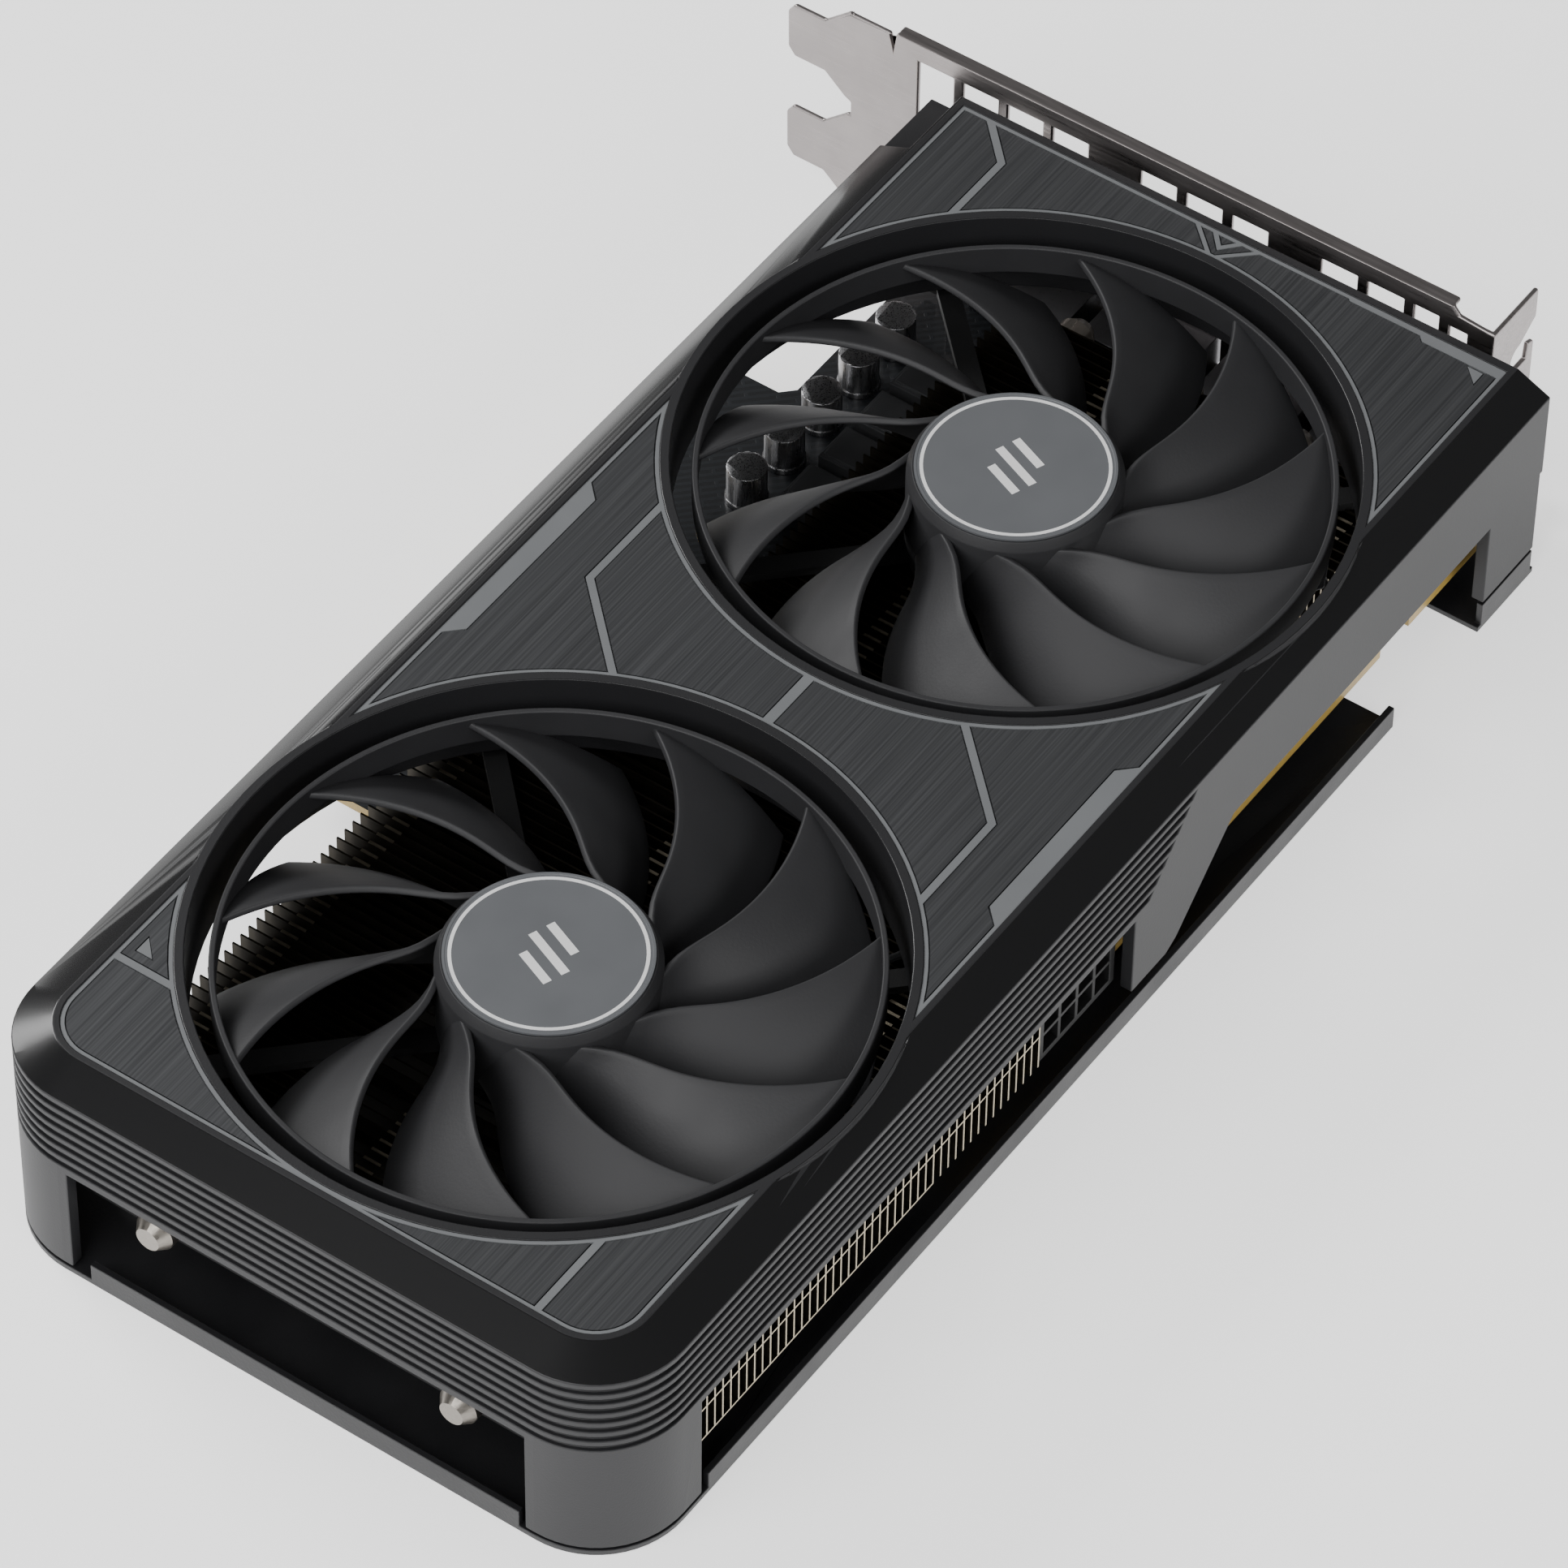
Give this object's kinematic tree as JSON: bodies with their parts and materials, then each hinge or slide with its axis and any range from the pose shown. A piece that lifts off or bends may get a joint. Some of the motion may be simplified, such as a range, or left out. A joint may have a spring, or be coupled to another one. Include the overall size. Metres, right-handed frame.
{
  "type": "graphics card",
  "caption": "Dual-fan, two-slot graphics card with bent-edge shroud, finned heat-pipe cooler, circuit board with edge connector, I/O bracket and backplate.",
  "frame": {"origin": "centre of the card's footprint, on the plane of the backplate's underside", "axes": "+Z out of the fans, +X along the card towards the I/O bracket, +Y across the card towards the slot edge connector"},
  "size_m": [0.238, 0.133, 0.0418],
  "materials": {
    "matte_black_plastic": "fine matte moulded plastic, satin on the bevel",
    "baffle_black": "thin black moulded sheet",
    "brushed_grey": "brushed, dark grey anodised sheet",
    "light_grey_inlay": "satin light grey printed inlay",
    "screw_steel": "bright turned steel",
    "screw_dark": "black oxide steel",
    "bearing_brass": "sintered bronze sleeve",
    "stator_winding": "laminated steel wound with enamelled copper",
    "fan_plastic": "satin dark grey moulded plastic",
    "badge_grey": "satin grey label disc with a light ring",
    "magnet_ferrite": "bonded ferrite ring",
    "cable_black": "black insulated lead",
    "plug_white": "natural nylon",
    "fin_aluminium": "stamped sheet, as rolled",
    "plated_copper": "nickel-plated copper",
    "pad_rubber": "soft grey thermal pad",
    "board_black": "black solder mask over glass fibre",
    "contact_gold": "gold-plated copper",
    "package_green": "organic substrate",
    "die_silicon": "polished silicon",
    "chip_black": "moulded epoxy",
    "choke_grey": "pressed ferrite block",
    "capacitor_can": "bare aluminium can",
    "connector_black": "moulded nylon",
    "pin_tin": "tin-plated brass",
    "backplate_black": "black powder-coated aluminium sheet",
    "standoff_brass": "hexagonal spacer",
    "bracket_steel": "zinc-plated steel sheet",
    "port_shell": "nickel-plated steel shell"
  },
  "bodies": {
    "card": {"shroud": "matte_black_plastic", "end_baffle": "baffle_black", "face_plate": "brushed_grey", "accent_strips": "light_grey_inlay", "fan_frame_far": "matte_black_plastic", "fan_frame_near": "matte_black_plastic", "fan_screws": "screw_steel", "bearing_far": "bearing_brass", "bearing_near": "bearing_brass", "stator_far": "stator_winding", "stator_near": "stator_winding", "fan_lead_far": "cable_black", "fan_lead_near": "cable_black", "lead_plugs": "plug_white", "fan_headers": "plug_white", "fins_far": "fin_aluminium", "fins_near": "fin_aluminium", "heat_pipe_top": "plated_copper", "heat_pipe_mid": "plated_copper", "heat_pipe_slot": "plated_copper", "base_plate": "plated_copper", "thermal_pads": "pad_rubber", "cooler_screws": "screw_steel", "cooler_springs": "screw_steel", "pcb": "board_black", "edge_contacts": "contact_gold", "gpu_package": "package_green", "gpu_die": "die_silicon", "memory_chips": "chip_black", "chokes": "choke_grey", "capacitors": "capacitor_can", "power_stages": "chip_black", "power_connector": "connector_black", "power_pins": "pin_tin", "backplate": "backplate_black", "standoffs": "standoff_brass", "backplate_screws": "screw_dark", "bracket": "bracket_steel", "bracket_screws": "screw_steel", "dp_ports": "port_shell", "hdmi_port": "port_shell"},
    "fan_far": {"rotor_far": "fan_plastic", "fan_badge_far": "badge_grey", "magnet_far": "magnet_ferrite", "shaft_far": "screw_steel"},
    "fan_near": {"rotor_near": "fan_plastic", "fan_badge_near": "badge_grey", "magnet_near": "magnet_ferrite", "shaft_near": "screw_steel"}
  },
  "joints": [
    {"name": "far_fan_spin", "type": "hinge", "parent": "card", "child": "fan_far", "pos_m": [-0.0618, -0.0135, 0.03], "axis": [0, 0, 1], "continuous": true},
    {"name": "near_fan_spin", "type": "hinge", "parent": "card", "child": "fan_near", "pos_m": [0.0488, -0.0135, 0.03], "axis": [0, 0, 1], "continuous": true}
  ]
}
